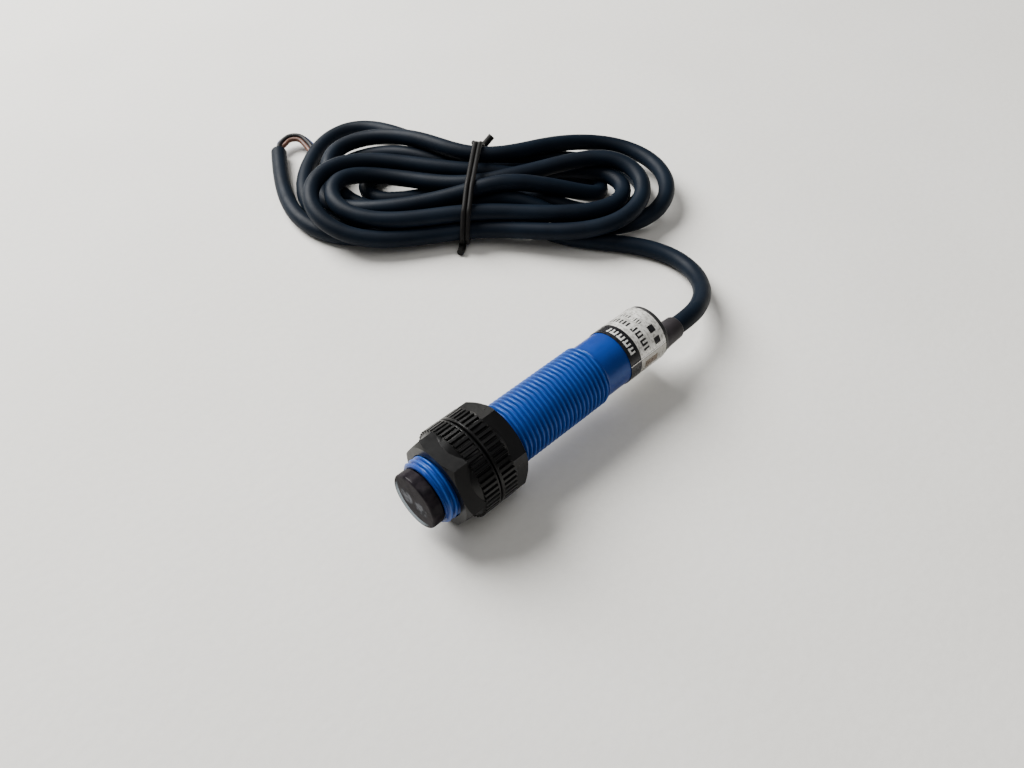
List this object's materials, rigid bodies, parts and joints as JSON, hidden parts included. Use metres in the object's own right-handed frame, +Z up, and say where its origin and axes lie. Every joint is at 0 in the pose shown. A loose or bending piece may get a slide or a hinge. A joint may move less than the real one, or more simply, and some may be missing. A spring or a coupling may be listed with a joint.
{
  "type": "photoelectric sensor",
  "caption": "Cylindrical photoelectric sensor with an M12 threaded plastic barrel, flanged lock nuts, a smoked lens cap and a cable folded into a tied hank.",
  "frame": {"origin": "on the ground under the middle of the sensor's length, from the lens cap's face to the strain relief's end, the cable left out", "axes": "+X along the sensor from the lens to the cable, +Z up, +Y towards the side where the cable's hank lies"},
  "size_m": [0.108, 0.1207, 0.0174],
  "materials": {
    "blue_barrel": "moulded, slight sheen",
    "smoked_cap": "polished smoked clear",
    "seal_rubber": "matt",
    "optical_black": "matt, light absorbing",
    "clear_lens": "polished",
    "red_led": "clear moulded",
    "dark_photodiode": "moulded",
    "tinned_metal": "tinned",
    "green_board": "solder mask",
    "chip_black": "moulded epoxy",
    "tan_capacitor": "ceramic",
    "orange_indicator": "clear moulded",
    "clear_window": "polished",
    "blue_trimmer": "moulded",
    "white_adjuster": "moulded",
    "brown_insulation": "extruded PVC",
    "black_insulation": "extruded PVC",
    "blue_insulation": "extruded PVC",
    "black_end_cap": "moulded",
    "grey_boot": "soft moulded PVC",
    "foil_label": "satin metallised foil with printed bars",
    "black_nylon": "moulded, fine grain",
    "cable_jacket": "extruded PVC, dull sheen",
    "black_tie": "plastic-covered wire"
  },
  "bodies": {
    "sensor": {"housing": "blue_barrel", "lens_cap": "smoked_cap", "cap_seal": "seal_rubber", "lens_holder": "optical_black", "emitter_lens": "clear_lens", "receiver_lens": "clear_lens", "emitter_led": "red_led", "photodiode": "dark_photodiode", "receiver_shield": "tinned_metal", "circuit_board": "green_board", "sensing_ic": "chip_black", "output_transistor": "chip_black", "smoothing_capacitor": "tan_capacitor", "protection_diode": "chip_black", "indicator_led": "orange_indicator", "indicator_window": "clear_window", "sensitivity_trimmer": "blue_trimmer", "brown_core_inside": "brown_insulation", "black_core_inside": "black_insulation", "blue_core_inside": "blue_insulation", "cable_clamp": "tinned_metal", "end_cap": "black_end_cap", "strain_relief": "grey_boot", "label": "foil_label", "cable_lead": "cable_jacket", "cable_hank": "cable_jacket", "cable_tail": "cable_jacket", "brown_core": "brown_insulation", "black_core": "black_insulation", "blue_core": "blue_insulation", "cable_tie": "black_tie"},
    "front_lock_nut": {"front_nut": "black_nylon"},
    "rear_lock_nut": {"rear_nut": "black_nylon"},
    "adjuster": {"sensitivity_adjuster": "white_adjuster"}
  },
  "joints": [
    {"name": "front_nut_travel", "type": "slide", "parent": "sensor", "child": "front_lock_nut", "axis": [1, 0, 0], "range_m": [-0.0024, 0]},
    {"name": "rear_nut_travel", "type": "slide", "parent": "sensor", "child": "rear_lock_nut", "axis": [1, 0, 0], "range_m": [0, 0.0215]},
    {"name": "sensitivity_turn", "type": "hinge", "parent": "sensor", "child": "adjuster", "pos_m": [0.02585, 0.00243, 0.00999], "axis": [1, 0, 0], "range_deg": [-135, 135]}
  ]
}
